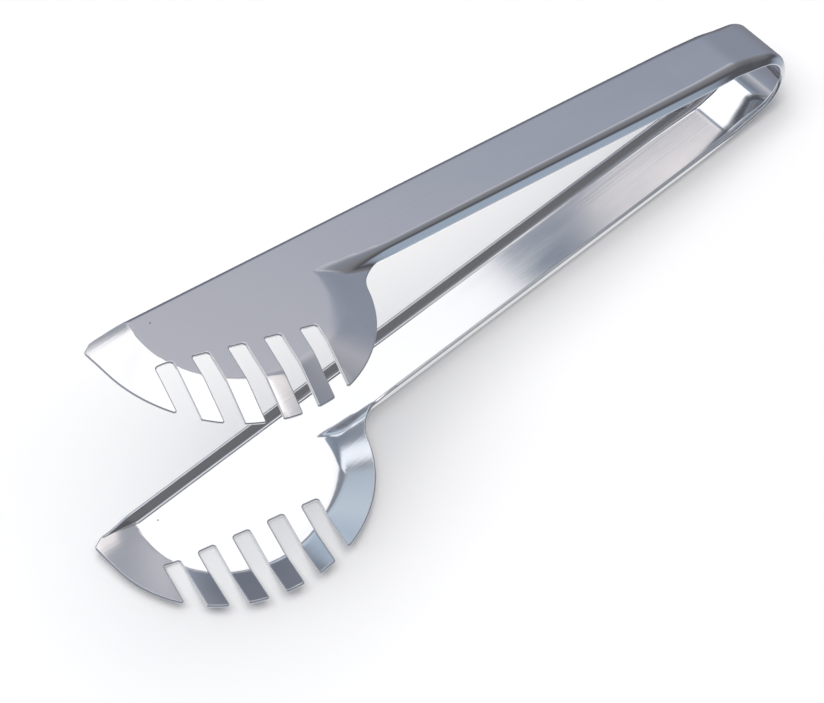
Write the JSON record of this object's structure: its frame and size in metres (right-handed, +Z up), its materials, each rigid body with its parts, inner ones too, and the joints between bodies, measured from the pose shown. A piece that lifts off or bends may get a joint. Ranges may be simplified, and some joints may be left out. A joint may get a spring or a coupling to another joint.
{
  "type": "spaghetti tongs",
  "caption": "Sprung sheet-steel serving tongs: folded channel arms joined by a kinked bow, each ending in a dished, slotted comb head with a round rim.",
  "frame": {"origin": "under the middle of the bounding box, at the height of the lower arm's outer face", "axes": "+X from the heads to the bow, +Y to the straight edge away from the tines, +Z up"},
  "size_m": [0.205, 0.044, 0.0717],
  "materials": {
    "steel": "polished"
  },
  "bodies": {
    "lower_arm": {"lower_handle": "steel", "lower_head": "steel", "spring_bow": "steel"},
    "upper_arm": {"upper_handle": "steel", "upper_head": "steel"}
  },
  "joints": [
    {"name": "squeeze", "type": "hinge", "parent": "lower_arm", "child": "upper_arm", "pos_m": [0.0923, 0.01389, 0.01181], "axis": [0, -1, 0], "range_deg": [0, 20], "stiffness_Nm_per_rad": 3.5, "deforming": ["spring_bow"]}
  ]
}
